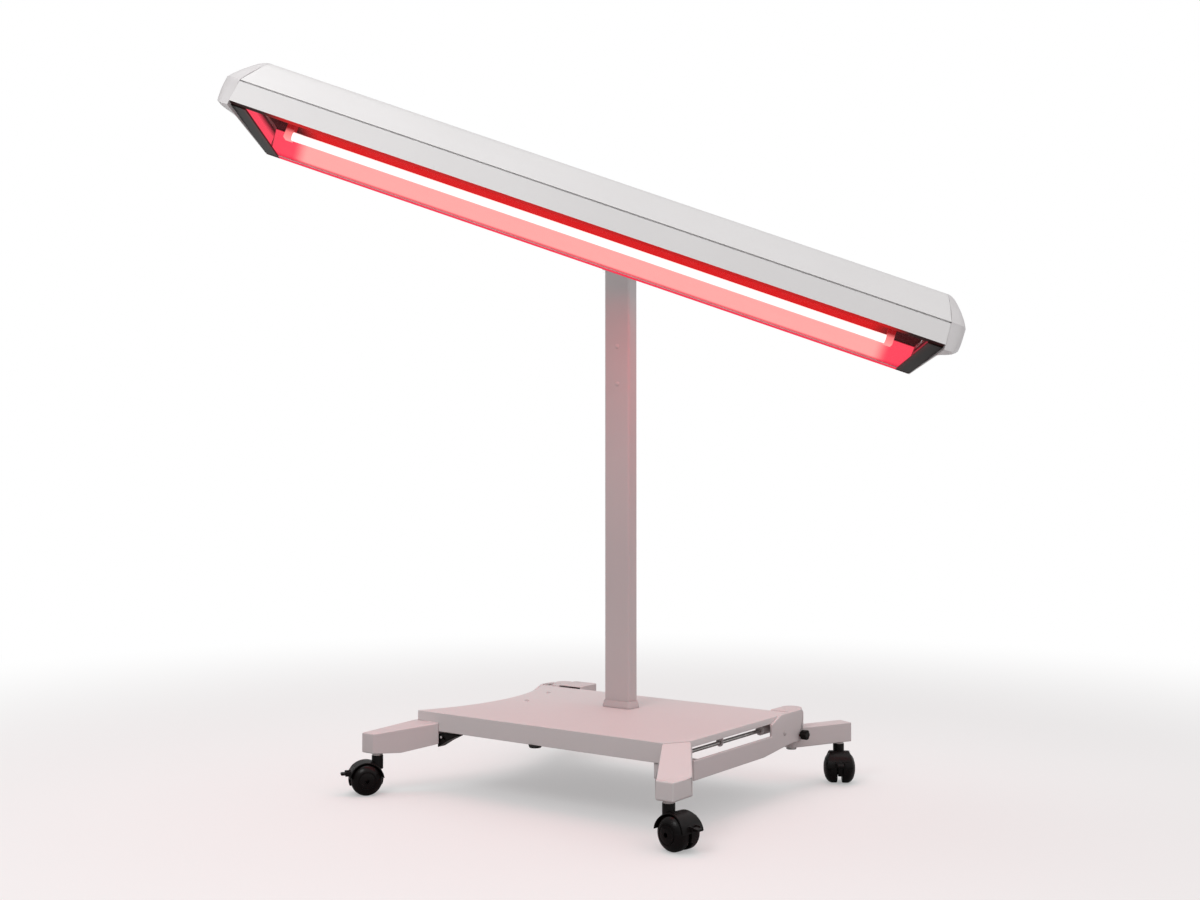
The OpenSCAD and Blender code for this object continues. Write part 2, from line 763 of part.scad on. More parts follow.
module inner_mast() {
    color(mauve) translate([0, 0, mast_top - mast_l]) difference() {
        linear_extrude(mast_l) rrect(mast_w, mast_d, post_r - tube_t);
        translate([0, 0, -cut]) linear_extrude(mast_l + 2 * cut)
            rrect(mast_w - 2 * tube_t, mast_d - 2 * tube_t, 1);
    }
}

// Plug and round plate that close the mast and hold the swivel spindle
module mast_head() {
    color(mauve) difference() {
        union() {
            translate([0, 0, mast_top - plug_l]) linear_extrude(plug_l + cut)
                rrect(mast_w - 2 * tube_t, mast_d - 2 * tube_t, 1);
            translate([0, 0, mast_top]) cylinder(r = mast_w / 2, h = head_plate_h);
        }
        translate([0, 0, plate_top - spindle_l - 2])
            cylinder(r = spindle_r + run_c, h = spindle_l + 2 + cut);
    }
}

// Turns its children into the roll axis frame: y along the shaft, x along the head
module roll_frame(roll = 0) {
    translate([0, 0, roll_z]) rotate([0, roll, head_yaw]) children();
}

module swivel_hub() {
    color(mauve) difference() {
        union() {
            translate([0, 0, plate_top - spindle_l])
                cylinder(r = spindle_r, h = spindle_l + gap + cut);
            translate([0, 0, plate_top + gap]) cylinder(r = mast_w / 2, h = disc_h);
            translate([0, 0, plate_top + gap]) cylinder(r = barrel_r - 2, h = roll_z - plate_top);
            roll_frame() rotate([90, 0, 0]) cylinder(r = barrel_r, h = barrel_l, center = true);
        }
        roll_frame() rotate([90, 0, 0])
            cylinder(r = shaft_r + run_c, h = barrel_l + 2 * cut, center = true);
    }
}

// Shaft with its collar in front of the hub and its knuckle at the head
module roll_shaft() {
    back = barrel_l / 2 + 4;
    color(steel) roll_frame(head_roll) difference() {
        union() {
            translate([0, back, 0]) rotate([90, 0, 0])
                cylinder(r = shaft_r, h = tilt_reach + back);
            translate([0, -barrel_l / 2 - gap, 0]) rotate([90, 0, 0])
                cylinder(r = shaft_r + 6, h = 8);
            translate([-knuckle_w / 2, -tilt_reach, 0]) rotate([0, 90, 0])
                cylinder(r = knuckle_r, h = knuckle_w);
        }
        translate([-knuckle_w, -tilt_reach, 0]) rotate([0, 90, 0])
            cylinder(r = tilt_pin_r + run_c, h = 2 * knuckle_w);
        translate([0, back - 24, 0]) rotate([-90, 0, 0])
            cylinder(r = stud_r + run_c, h = 24 + cut);
    }
}

module roll_knob() {
    color(black) roll_frame() translate([0, barrel_l / 2 + 4 + 3 + gap, 0]) rotate([-90, 0, 0])
        hand_knob(20, 18, stud_r, 22, 6);
}

// Frame of the head: origin in the middle of its lower edges
module head_frame() {
    roll_frame(head_roll) translate([-head_shift, -head_reach, -head_drop])
        rotate([-head_tilt, 0, 0]) children();
}

module tilt_pin() {
    l = knuckle_w + 2 * ear_t + 2 * gap;
    color(steel) head_frame() translate(pin_local) rotate([0, 90, 0]) {
        cylinder(r = tilt_pin_r, h = l, center = true);
        for (s = [-1, 1]) translate([0, 0, s * (l / 2 + 2)])
            cylinder(r = tilt_pin_r + 3, h = 4, center = true);
    }
}

// Turns its children onto the rear roof slope under the tilt pin, z away from the roof
module slope_frame() {
    head_frame() translate(pin_local) rotate([-roof_slope, 0, 0])
        translate([0, 0, -pin_over_roof]) children();
}

bolt_sites = [for (x = [-1, 1], y = [-1, 1])
    [x * (bracket_l / 2 - 12), y * (bracket_w / 2 - 11) - 2]];

// Saddle on the roof with two ears round the knuckle
module roof_bracket() {
    color(steel) difference() {
        union() {
            slope_frame() linear_extrude(bracket_t) translate([0, -2]) rrect(bracket_l, bracket_w, 8);
            for (s = [-1, 1]) slope_frame()
                translate([s * (knuckle_w / 2 + gap + ear_t / 2) - ear_t / 2, 0, 0]) {
                    translate([0, -knuckle_r, 0]) cube([ear_t, 2 * knuckle_r, pin_over_roof]);
                    translate([0, 0, pin_over_roof]) rotate([0, 90, 0])
                        cylinder(r = knuckle_r, h = ear_t);
                }
        }
        head_frame() translate(pin_local) rotate([0, 90, 0])
            cylinder(r = tilt_pin_r, h = 100, center = true);
        for (p = bolt_sites) slope_frame() translate([p[0], p[1], -cut])
            cylinder(r = bolt_r, h = bracket_t + 2 * cut);
    }
}

module bracket_bolts() {
    color(steel) for (p = bolt_sites) slope_frame() translate([p[0], p[1], bracket_t]) {
        button_screw(5.5, 3);
        translate([0, 0, -bracket_t - shell_t - 8]) cylinder(r = bolt_r, h = bracket_t + shell_t + 9);
        translate([0, 0, -bracket_t - shell_t - 5 - gap]) cylinder(r = 5, h = 5, $fn = 6);
    }
}

// Section under the roof, from groove to groove, drawn in by a wall
module roof_section(t = 0) {
    r = ridge_r - t;
    top_y = r * sin(roof_slope);
    low_z = ridge_c + r * cos(roof_slope) - (edge_y - top_y) * tan(roof_slope);
    polygon([[-edge_y, 0], [-edge_y, low_z],
        for (i = [-ridge_steps:ridge_steps]) let (a = roof_slope * i / ridge_steps)
            [r * sin(a), ridge_c + r * cos(a)],
        [edge_y, low_z], [edge_y, 0]]);
}

// Extrudes a section along the head, section x across and y up
module along_head(l = head_l) {
    head_frame() translate([-l / 2, 0, 0]) rotate([90, 0, 90]) linear_extrude(l) children();
}

module roof_cover() {
    color(white) difference() {
        along_head() difference() {
            roof_section();
            roof_section(shell_t);
            translate([-head_w, -cut]) square([2 * head_w, groove_z + groove_w / 2 + cut]);
        }
        for (p = bolt_sites) slope_frame() translate([p[0], p[1], -shell_t - 2])
            cylinder(r = bolt_r + run_c, h = shell_t + 4);
    }
}

// Side panel with a flange at its foot and a tongue under the roof's edge
module side_panel(s) {
    top = groove_z - groove_w / 2;
    function out(z) = half_w - lean * z / groove_z;
    r = ridge_r - shell_t;
    function tongue(y) = ridge_c + r * cos(roof_slope) - (y - r * sin(roof_slope)) * tan(roof_slope);
    tip = edge_y - 18;
    foot = out(top) - shell_t + 0.6;
    color(white) along_head() mirror([s < 0 ? 1 : 0, 0])
        polygon([[half_w, 0], [out(top), top], [out(top) - 2, top],
            [edge_y - 1.5, tongue(edge_y - 1.5)], [tip, tongue(tip)], [tip, tongue(tip) - 2.6],
            [foot, tongue(foot) - 2.6], [foot, top - 6], [out(flange_z) - shell_t, flange_z],
            [half_w - flange_in, flange_z], [half_w - flange_in, 0]]);
}

module side_panel_front() {
    side_panel(-1);
}

module side_panel_rear() {
    side_panel(1);
}

// Outer section of the head, shrunk for the nose of a cap
module cap_section(k, t = 0) {
    translate([0, (1 - k) * head_h * 0.45]) scale([k, k]) {
        polygon([[-half_w + t, t], [-edge_y + t, groove_z], [-edge_y + t, roof_at(edge_y) - t],
            for (i = [-4:4]) let (a = roof_slope * i / 4)
                [(ridge_r - t) * sin(a), ridge_c + (ridge_r - t) * cos(a)],
            [edge_y - t, roof_at(edge_y) - t], [edge_y - t, groove_z], [half_w - t, t]]);
    }
}

// Nose of a cap: three sections, the outer one smaller
module cap_nose(d, t = 0) {
    hull() for (p = [[0, 1], [0.55, 0.97], [1, 0.86]])
        translate([p[0] * (d - 1), 0, 0]) rotate([90, 0, 90]) linear_extrude(1)
            cap_section(p[1], t);
}

module end_cap(s) {
    color(white) head_frame() mirror([s < 0 ? 1 : 0, 0, 0]) translate([half_l, 0, 0]) difference() {
        cap_nose(cap_d);
        translate([-cut, 0, 0]) cap_nose(cap_d - cap_t + cut, cap_t);
    }
}

module end_cap_left() {
    end_cap(-1);
}

module end_cap_right() {
    end_cap(1);
}

// Folded reflector: lips on the window, sloping walls and a flat ceiling
module reflector() {
    lip = half_w - 10;
    wall = half_w - 34;
    z0 = flange_z + pane_t;
    t = reflector_t;
    color("mistyrose") along_head(head_l - 20) {
        polygon([[-lip, z0], [-lip + 4, z0], [-lip + 5, z0 + 2], [-wall + t, trough_z],
            [wall - t, trough_z], [lip - 5, z0 + 2], [lip - 4, z0], [lip, z0], [lip, z0 + t],
            [lip - 3, z0 + t + 1], [wall, trough_z + t], [-wall, trough_z + t],
            [-lip + 3, z0 + t + 1], [-lip, z0 + t]]);
    }
}

// Black bars across both ends of the underside
module bezel_bars() {
    color(black) head_frame() for (s = [-1, 1])
        translate([s * (half_l - bar_w / 2) - bar_w / 2, -half_w + flange_in, -2])
            cube([bar_w, head_w - 2 * flange_in, 2 + flange_z]);
}

module window() {
    color([1, 0.9, 0.9, 0.3]) head_frame()
        translate([-half_l + 8, -half_w + 8, pane_z]) cube([head_l - 16, head_w - 16, pane_t]);
}

// Lamp with a metal ferrule at each end
module lamp_tube() {
    color("white") head_frame() translate([-lamp_l / 2, 0, lamp_z]) rotate([0, 90, 0]) {
        cylinder(r = lamp_r, h = lamp_l);
        for (x = [0, lamp_l - 16]) translate([0, 0, x]) cylinder(r = lamp_r + 0.2, h = 16);
    }
}

// Lamp holders hanging from the reflector's ceiling
module lamp_sockets() {
    color(white) head_frame() for (s = [-1, 1])
        translate([s * (lamp_l / 2 + socket_t / 2) - socket_t / 2, -10, flange_z + pane_t + 0.5])
            cube([socket_t, 20, trough_z - flange_z - pane_t - 0.5]);
}

// Ballast on top of the reflector
module ballast() {
    color("dimgray") head_frame() translate([ballast_x, -32, trough_z + reflector_t])
        cube(ballast_size);
}

module terminal_block() {
    color("ivory") head_frame() translate([-60, -20, trough_z + reflector_t]) difference() {
        cube([40, 24, 16]);
        for (i = [0:3]) translate([5 + 10 * i, 12, 4]) cylinder(r = 2.5, h = 16);
    }
}

deck();
side_rail_right();
lug_left();
front_arm_right();
front_arm_left();
linkage_rod();
rod_hangers();
bumper();
button_screws();
inlet_cover();
power_inlet();
rocker();
post_foot();
post_tube();
post_bush();
clamp_collar();
height_knob();
rear_pivot_bolts();
lock_pedal();
rear_arm_right();
rear_arm_left();
arm_knob_right();
arm_knob_left();
stem_front_right();
stem_front_left();
stem_rear_right();
stem_rear_left();
hood_front_right();
hood_front_left();
hood_rear_right();
hood_rear_left();
wheels_front_right();
wheels_front_left();
wheels_rear_right();
wheels_rear_left();
brake_front_right();
brake_front_left();
brake_rear_right();
brake_rear_left();
inner_mast();
mast_head();
swivel_hub();
roll_shaft();
roll_knob();
tilt_pin();
roof_bracket();
bracket_bolts();
roof_cover();
side_panel_front();
side_panel_rear();
end_cap_left();
end_cap_right();
reflector();
bezel_bars();
window();
lamp_tube();
lamp_sockets();
ballast();
terminal_block();
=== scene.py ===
import json
import math

import bmesh
import bpy
from mathutils import Matrix, Vector


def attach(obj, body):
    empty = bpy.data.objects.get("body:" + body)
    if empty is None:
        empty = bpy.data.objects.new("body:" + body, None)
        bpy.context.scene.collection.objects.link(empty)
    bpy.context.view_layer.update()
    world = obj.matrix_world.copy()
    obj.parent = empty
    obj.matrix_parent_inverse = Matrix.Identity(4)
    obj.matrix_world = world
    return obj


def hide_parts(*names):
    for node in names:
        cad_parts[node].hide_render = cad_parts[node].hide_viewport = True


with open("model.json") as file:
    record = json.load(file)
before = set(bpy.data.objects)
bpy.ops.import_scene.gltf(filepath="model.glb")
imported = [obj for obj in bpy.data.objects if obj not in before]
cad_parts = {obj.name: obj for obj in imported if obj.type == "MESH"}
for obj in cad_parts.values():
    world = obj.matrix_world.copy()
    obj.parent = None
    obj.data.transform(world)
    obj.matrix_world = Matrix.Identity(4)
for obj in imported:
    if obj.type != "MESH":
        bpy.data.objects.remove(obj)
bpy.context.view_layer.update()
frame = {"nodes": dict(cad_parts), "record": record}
print("frame: %d nodes loaded" % len(frame["nodes"]))

corners = ["front_right", "front_left", "rear_right", "rear_left"]

# where the head hangs: angles in degrees, the rest in metres
headPlace = {
    "yaw": 34.1, "roll": 19.2, "tilt": 6.0,
    "axisHeight": 1.12, "shift": 0.0326, "reach": 0.2445, "drop": 0.097,
}


def turnMatrix(degrees, axis):
    return Matrix.Rotation(math.radians(degrees), 4, axis)


headMatrix = (
    Matrix.Translation((0, 0, headPlace["axisHeight"]))
    @ turnMatrix(headPlace["yaw"], "Z")
    @ turnMatrix(headPlace["roll"], "Y")
    @ Matrix.Translation((-headPlace["shift"], -headPlace["reach"], -headPlace["drop"]))
    @ turnMatrix(-headPlace["tilt"], "X")
)
toHead = headMatrix.inverted()

# camera: place and sight in metres, turn in degrees, lens and sensor in millimetres
cameraView = {
    "place": (1.5941, -2.2715, 0.613), "turn": (91.089, 0, 35.92),
    "lens": 41.63, "sensor": 36, "sight": 60,
}


def makeCamera():
    data = bpy.data.cameras.new("camera")
    data.lens = cameraView["lens"]
    data.sensor_width = cameraView["sensor"]
    data.clip_end = cameraView["sight"]
    camera = bpy.data.objects.new("camera", data)
    camera.location = cameraView["place"]
    camera.rotation_euler = [math.radians(a) for a in cameraView["turn"]]
    bpy.context.scene.collection.objects.link(camera)
    bpy.context.scene.camera = camera


makeCamera()
bpy.context.scene.view_settings.view_transform = "Standard"


# small helpers for node trees

def newMaterial(name):
    material = bpy.data.materials.new(name)
    material.use_nodes = True
    material.node_tree.nodes.clear()
    return material, material.node_tree


def addNode(tree, kind, inputs=None, **settings):
    node = tree.nodes.new(kind)
    for key, value in settings.items():
        setattr(node, key, value)
    for key, value in (inputs or {}).items():
        if isinstance(value, bpy.types.NodeSocket):
            tree.links.new(value, node.inputs[key])
        else:
            node.inputs[key].default_value = value
    return node


def calculate(tree, operation, first, second=0.0):
    node = addNode(tree, "ShaderNodeMath", {0: first, 1: second}, operation=operation)
    return node.outputs[0]


def objectPlace(tree):
    return addNode(tree, "ShaderNodeTexCoord").outputs["Object"]


# turns object coordinates into the head's own: x along, y across, z up from the lower edge
def headCoordinates(tree):
    place, turn, scale = headMatrix.decompose()
    mapping = addNode(tree, "ShaderNodeMapping", {
        "Vector": objectPlace(tree), "Location": place, "Rotation": turn.to_euler(),
    }, vector_type="TEXTURE")
    return addNode(tree, "ShaderNodeSeparateXYZ", {"Vector": mapping.outputs["Vector"]})


def headAlong(tree, place):
    return calculate(tree, "ABSOLUTE", place.outputs["X"])


def noiseAt(tree, place, scale, detail):
    inputs = {"Vector": place, "Scale": scale, "Detail": detail}
    return addNode(tree, "ShaderNodeTexNoise", inputs).outputs["Fac"]


def spread(tree, value, low, high, newLow, newHigh, smooth=False):
    node = addNode(tree, "ShaderNodeMapRange", {
        "Value": value, "From Min": low, "From Max": high, "To Min": newLow, "To Max": newHigh,
    })
    node.interpolation_type = "SMOOTHSTEP" if smooth else "LINEAR"
    return node.outputs["Result"]


# sockets 0, 6 and 7 of the Mix node are its factor and its two colours, 2 is the mixed colour
def mixColors(tree, factor, first, second):
    node = addNode(tree, "ShaderNodeMix", data_type="RGBA")
    for key, value in ((0, factor), (6, first), (7, second)):
        if isinstance(value, bpy.types.NodeSocket):
            tree.links.new(value, node.inputs[key])
        else:
            node.inputs[key].default_value = value if key == 0 else (*value[:3], 1)
    return node.outputs[2]


def colorRamp(tree, factor, stops):
    ramp = addNode(tree, "ShaderNodeValToRGB", {"Fac": factor})
    while len(ramp.color_ramp.elements) < len(stops):
        ramp.color_ramp.elements.new(0.5)
    for element, (at, color) in zip(ramp.color_ramp.elements, stops):
        element.position = at
        element.color = (*color, 1)
    return ramp.outputs["Color"]


# fine relief on a surface: texture scale, detail, strength and depth in metres
def fineRelief(tree, place, scale, detail, strength, depth):
    bump = addNode(tree, "ShaderNodeBump", {
        "Height": noiseAt(tree, place, scale, detail), "Strength": strength, "Distance": depth,
    })
    return bump.outputs["Normal"]


def addPrincipled(tree, inputs):
    bsdf = addNode(tree, "ShaderNodeBsdfPrincipled", inputs)
    addNode(tree, "ShaderNodeOutputMaterial", {"Surface": bsdf.outputs[0]})


# paint: a base tone, a faint drift of tone, orange peel and uneven gloss
paintJobs = {
    "shellPaint": {"tone": (0.76, 0.745, 0.745), "drift": (0.74, 0.725, 0.725),
                   "gloss": (0.32, 0.40), "depth": 0.000003, "coat": 0.2},
    "basePaint": {"tone": (0.72, 0.65, 0.65), "drift": (0.70, 0.63, 0.635),
                  "gloss": (0.36, 0.46), "depth": 0.000003, "coat": 0.12},
    # the post's darker tone is partly its own finish and partly painted shade from the head above
    # it
    "postPaintAndShade": {"tone": (0.56, 0.51, 0.51), "drift": (0.54, 0.49, 0.495),
                  "gloss": (0.34, 0.42), "depth": 0.000003, "coat": 0.12},
    "deckPaint": {"tone": (0.74, 0.69, 0.69), "drift": (0.73, 0.68, 0.68),
                  "gloss": (0.42, 0.46), "depth": 0.000001, "coat": 0.0},
}
paintPattern = {
    "cloudScale": 5.0, "cloudDetail": 4, "clouds": (0.35, 0.65),
    "patchScale": 38.0, "patchDetail": 5, "patches": (0.3, 0.7),
    "peel": 420, "peelDetail": 2, "peelStrength": 0.5, "coatRoughness": 0.2,
}


def makePaint(name):
    job, pattern = paintJobs[name], paintPattern
    material, tree = newMaterial(name)
    place = objectPlace(tree)
    clouds = noiseAt(tree, place, pattern["cloudScale"], pattern["cloudDetail"])
    drift = spread(tree, clouds, *pattern["clouds"], 0, 1)
    patches = noiseAt(tree, place, pattern["patchScale"], pattern["patchDetail"])
    addPrincipled(tree, {
        "Base Color": mixColors(tree, drift, job["tone"], job["drift"]),
        "Roughness": spread(tree, patches, *pattern["patches"], *job["gloss"]),
        "Normal": fineRelief(tree, place, pattern["peel"], pattern["peelDetail"],
                             pattern["peelStrength"], job["depth"]),
        "Coat Weight": job["coat"], "Coat Roughness": pattern["coatRoughness"],
    })
    return material


# moulded plastics and rubbers: grain and uneven gloss
mouldings = {
    "capPlastic": {"tone": (0.66, 0.64, 0.645), "drift": (0.63, 0.605, 0.61),
                   "gloss": (0.30, 0.42), "grain": 900, "depth": 0.00004, "bright": 0.5},
    "blackPlastic": {"tone": (0.004, 0.003, 0.003), "drift": (0.008, 0.006, 0.006),
                     "gloss": (0.26, 0.42), "grain": 1400, "depth": 0.00006, "bright": 0.18},
    "wheelPlastic": {"tone": (0.003, 0.002, 0.002), "drift": (0.006, 0.004, 0.004),
                     "gloss": (0.20, 0.34), "grain": 700, "depth": 0.00004, "bright": 0.2},
    "bumperRubber": {"tone": (0.018, 0.017, 0.017), "drift": (0.03, 0.028, 0.028),
                     "gloss": (0.6, 0.8), "grain": 1100, "depth": 0.0001, "bright": 0.4},
    "ceramic": {"tone": (0.78, 0.74, 0.70), "drift": (0.72, 0.68, 0.64),
                "gloss": (0.35, 0.5), "grain": 900, "depth": 0.00004, "bright": 0.5},
    "switchLens": {"tone": (0.42, 0.012, 0.012), "drift": (0.34, 0.01, 0.01),
                   "gloss": (0.12, 0.22), "grain": 500, "depth": 0.00002, "bright": 0.5},
}
mouldPattern = {
    "cloudScale": 14.0, "cloudDetail": 4, "clouds": (0.35, 0.65),
    "patchScale": 60.0, "patchDetail": 4, "patches": (0.3, 0.7),
    "grainDetail": 3, "grainStrength": 0.6,
}


def makeMoulding(name):
    job, pattern = mouldings[name], mouldPattern
    material, tree = newMaterial(name)
    place = objectPlace(tree)
    clouds = noiseAt(tree, place, pattern["cloudScale"], pattern["cloudDetail"])
    drift = spread(tree, clouds, *pattern["clouds"], 0, 1)
    patches = noiseAt(tree, place, pattern["patchScale"], pattern["patchDetail"])
    addPrincipled(tree, {
        "Base Color": mixColors(tree, drift, job["tone"], job["drift"]),
        "Roughness": spread(tree, patches, *pattern["patches"], *job["gloss"]),
        "Normal": fineRelief(tree, place, job["grain"], pattern["grainDetail"],
                             pattern["grainStrength"], job["depth"]),
        "Specular IOR Level": job["bright"],
    })
    return material


# zinc plate: fine lines and cloudy tone
steelFinish = {
    "tone": (0.60, 0.585, 0.575), "dull": (0.46, 0.445, 0.44), "gloss": (0.22, 0.42),
    "cloudScale": 90.0, "cloudDetail": 5, "clouds": (0.3, 0.7),
    "lines": 900, "lineDetail": 2, "lineStrength": 0.4, "depth": 0.00003,
}


def makeSteel():
    finish = steelFinish
    material, tree = newMaterial("zincSteel")
    place = objectPlace(tree)
    cloudNoise = noiseAt(tree, place, finish["cloudScale"], finish["cloudDetail"])
    clouds = spread(tree, cloudNoise, *finish["clouds"], 0, 1)
    addPrincipled(tree, {
        "Base Color": mixColors(tree, clouds, finish["tone"], finish["dull"]),
        "Roughness": spread(tree, clouds, 0, 1, *finish["gloss"]),
        "Normal": fineRelief(tree, place, finish["lines"], finish["lineDetail"],
                             finish["lineStrength"], finish["depth"]),
        "Metallic": 1.0,
    })
    return material


# the trough: painted light. Its emitted colour stands in for the lamp's light on it (dark red
# ceiling, pink walls, crimson lip and ends) and follows the place across and along the head
troughGlowColors = {
    "ceiling": (0.62, 0.0015, 0.003), "wall": (0.98, 0.40, 0.38), "wallTop": (0.96, 0.20, 0.20),
    "lip": (0.83, 0.030, 0.075), "end": (0.97, 0.065, 0.115), "dark": (0.012, 0.002, 0.002),
    "near": (0.50, 0.0015, 0.002),
}
# pairs say where a change begins and ends: stops and ceilingFrom are shares of the ceiling's
# height, nearEdge is across the head, the fades and black are along it; the dark near side,
# the faded ceiling ends and the black lip ends are painted shade
troughGlow = {
    "strength": 1.0, "ceilingHeight": 0.047, "ceilingFrom": (0.94, 0.97),
    "wallStops": ((0.07, "lip"), (0.15, "wall"), (0.72, "wall"), (0.90, "wallTop"),
                  (0.96, "ceiling")),
    "endStops": ((0.07, "lip"), (0.18, "end"), (0.93, "end"), (0.97, "ceiling")),
    "nearEdge": (-0.105, -0.100), "ceilingFade": (0.545, 0.60), "wallFade": (0.574, 0.606),
    "black": (0.629, 0.631), "lipHeights": (0.0028, 0.0036), "baseDimming": 0.85,
    "ripple": 240.0, "rippleDetail": 3, "rippleStrength": 0.3, "rippleDepth": 0.0001,
    "roughness": 0.6, "specular": 0.05,
}


def troughRamp(tree, height, stops):
    return colorRamp(tree, height, [(at, troughGlowColors[tone]) for at, tone in stops])


def makeTrough():
    glow = troughGlow
    material, tree = newMaterial("troughReflector")
    place = headCoordinates(tree)
    along = headAlong(tree, place)
    height = spread(tree, place.outputs["Z"], 0, glow["ceilingHeight"], 0, 1)
    wall = troughRamp(tree, height, glow["wallStops"])
    atEnd = troughRamp(tree, height, glow["endStops"])
    tone = mixColors(tree, spread(tree, along, *glow["wallFade"], 0, 1, smooth=True), wall, atEnd)
    nearSide = spread(tree, place.outputs["Y"], *glow["nearEdge"], 1, 0)
    tone = mixColors(tree, nearSide, tone, troughGlowColors["near"])
    onCeiling = spread(tree, height, *glow["ceilingFrom"], 0, 1)
    fade = spread(tree, along, *glow["ceilingFade"], 0, 1, smooth=True)
    dim = calculate(tree, "MULTIPLY", calculate(tree, "MAXIMUM", onCeiling, nearSide), fade)
    onLip = spread(tree, place.outputs["Z"], *glow["lipHeights"], 1, 0)
    black = calculate(tree, "MULTIPLY", spread(tree, along, *glow["black"], 0, 1), onLip)
    tone = mixColors(tree, calculate(tree, "MAXIMUM", dim, black), tone, troughGlowColors["dark"])
    # the base colour is dimmed most of the way to dark, so the painted glow in the emission gives
    # the trough its colour
    addPrincipled(tree, {
        "Base Color": mixColors(tree, glow["baseDimming"], tone, troughGlowColors["dark"]),
        "Normal": fineRelief(tree, objectPlace(tree), glow["ripple"], glow["rippleDetail"],
                             glow["rippleStrength"], glow["rippleDepth"]),
        "Emission Color": tone, "Emission Strength": glow["strength"],
        "Roughness": glow["roughness"], "Specular IOR Level": glow["specular"],
    })
    return material


# the lamp: white in the middle, pink where the glass turns away
lampGlow = {
    "core": (1.0, 0.96, 0.94), "rim": (1.0, 0.42, 0.40), "coreTo": 0.30, "rimFrom": 0.80,
    "blend": 0.35, "strength": 1.15, "glass": (0.25, 0.22, 0.22, 1), "roughness": 0.3,
}


def makeLamp():
    material, tree = newMaterial("litTube")
    facing = addNode(tree, "ShaderNodeLayerWeight", {"Blend": lampGlow["blend"]}).outputs["Facing"]
    stops = [(lampGlow["coreTo"], lampGlow["core"]), (lampGlow["rimFrom"], lampGlow["rim"])]
    addPrincipled(tree, {
        "Emission Color": colorRamp(tree, facing, stops), "Emission Strength": lampGlow["strength"],
        "Base Color": lampGlow["glass"], "Roughness": lampGlow["roughness"],
    })
    return material


# lamp holders and end plates: painted glow, pink below, and painted shade, dark where the ceiling
# is near
endGlows = {
    "litSocket": [(0.1, (1.0, 0.34, 0.33)), (0.34, (1.0, 0.22, 0.22)), (0.5, (0.30, 0.001, 0.002))],
    "litEnd": [(0.1, troughGlowColors["end"]), (0.62, troughGlowColors["end"]), (0.86, troughGlowColors["dark"])],
}
endGlowBody = (0.10, 0.02, 0.03, 1)


def makeEndGlow(name):
    material, tree = newMaterial(name)
    height = spread(tree, headCoordinates(tree).outputs["Z"], 0, troughGlow["ceilingHeight"], 0, 1)
    addPrincipled(tree, {
        "Emission Color": colorRamp(tree, height, endGlows[name]),
        "Emission Strength": troughGlow["strength"], "Base Color": endGlowBody,
        "Roughness": troughGlow["roughness"], "Specular IOR Level": troughGlow["specular"],
    })
    return material


# the thin pane under the lamp: nearly clear, with a little dust
paneGlass = {
    "tint": (0.9, 0.35, 0.38, 1), "dustScale": 30.0, "dustDetail": 4, "dustSpread": (0.3, 0.7),
    "dust": (0.015, 0.035), "roughness": 0.08, "specular": 0.05, "ior": 1.04,
}


def makePane():
    glass = paneGlass
    material, tree = newMaterial("clearPane")
    dust = noiseAt(tree, objectPlace(tree), glass["dustScale"], glass["dustDetail"])
    addPrincipled(tree, {
        "Alpha": spread(tree, dust, *glass["dustSpread"], *glass["dust"]),
        "Base Color": glass["tint"], "Roughness": glass["roughness"],
        "Specular IOR Level": glass["specular"], "IOR": glass["ior"],
    })
    return material


# the black bars at the ends of the window, with a painted warm red glow on their inner edges
bezelTone = {
    "black": (0.010, 0.006, 0.005), "warm": (0.075, 0.010, 0.008), "warmth": (0.6255, 0.6415),
    "grain": 1100, "grainDetail": 3, "grainStrength": 0.5, "depth": 0.00006,
    "roughness": 0.5, "specular": 0.15,
}


def makeBezel():
    finish = bezelTone
    material, tree = newMaterial("bezelBlack")
    along = headAlong(tree, headCoordinates(tree))
    warm = spread(tree, along, *finish["warmth"], 1, 0, smooth=True)
    addPrincipled(tree, {
        "Base Color": mixColors(tree, warm, finish["black"], finish["warm"]),
        "Normal": fineRelief(tree, objectPlace(tree), finish["grain"], finish["grainDetail"],
                             finish["grainStrength"], finish["depth"]),
        "Roughness": finish["roughness"], "Specular IOR Level": finish["specular"],
    })
    return material


materials = {name: makePaint(name) for name in paintJobs}
materials.update({name: makeMoulding(name) for name in mouldings})
materials["zincSteel"] = makeSteel()
materials["troughReflector"] = makeTrough()
materials["litTube"] = makeLamp()
materials.update({name: makeEndGlow(name) for name in endGlows})
materials["clearPane"] = makePane()
materials["bezelBlack"] = makeBezel()
print("materials: %d made" % len(materials))


# pieces: every CAD node gets a material, and what has folded or moulded edges is rounded

bodies = frame["record"]["behaviour"]["bodies"]
bodyOf = {node: body for body, nodes in bodies.items() for node in nodes}

# angles in degrees; vertices closer than mergeGap (metres) are one
meshWork = {"sharpAngle": 32, "mouldedAngle": 40, "mergeGap": 0.00001, "flatAngle": 0.4,
            "mostCorners": 4, "profile": 0.5}


def paintNode(node, material):
    data = frame["nodes"][node].data
    data.materials.clear()
    data.materials.append(materials[material])


def newPiece(name, bm, material, sharpAngle=meshWork["sharpAngle"]):
    mesh = bpy.data.meshes.new(name)
    bm.to_mesh(mesh)
    bm.free()
    mesh.polygons.foreach_set("use_smooth", [True] * len(mesh.polygons))
    mesh.set_sharp_from_angle(angle=math.radians(sharpAngle))
    mesh.materials.append(materials[material])
    piece = bpy.data.objects.new(name, mesh)
    bpy.context.scene.collection.objects.link(piece)
    return piece


def settle(piece, *nodes):
    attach(piece, bodyOf[nodes[0]])
    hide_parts(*nodes)
    return piece


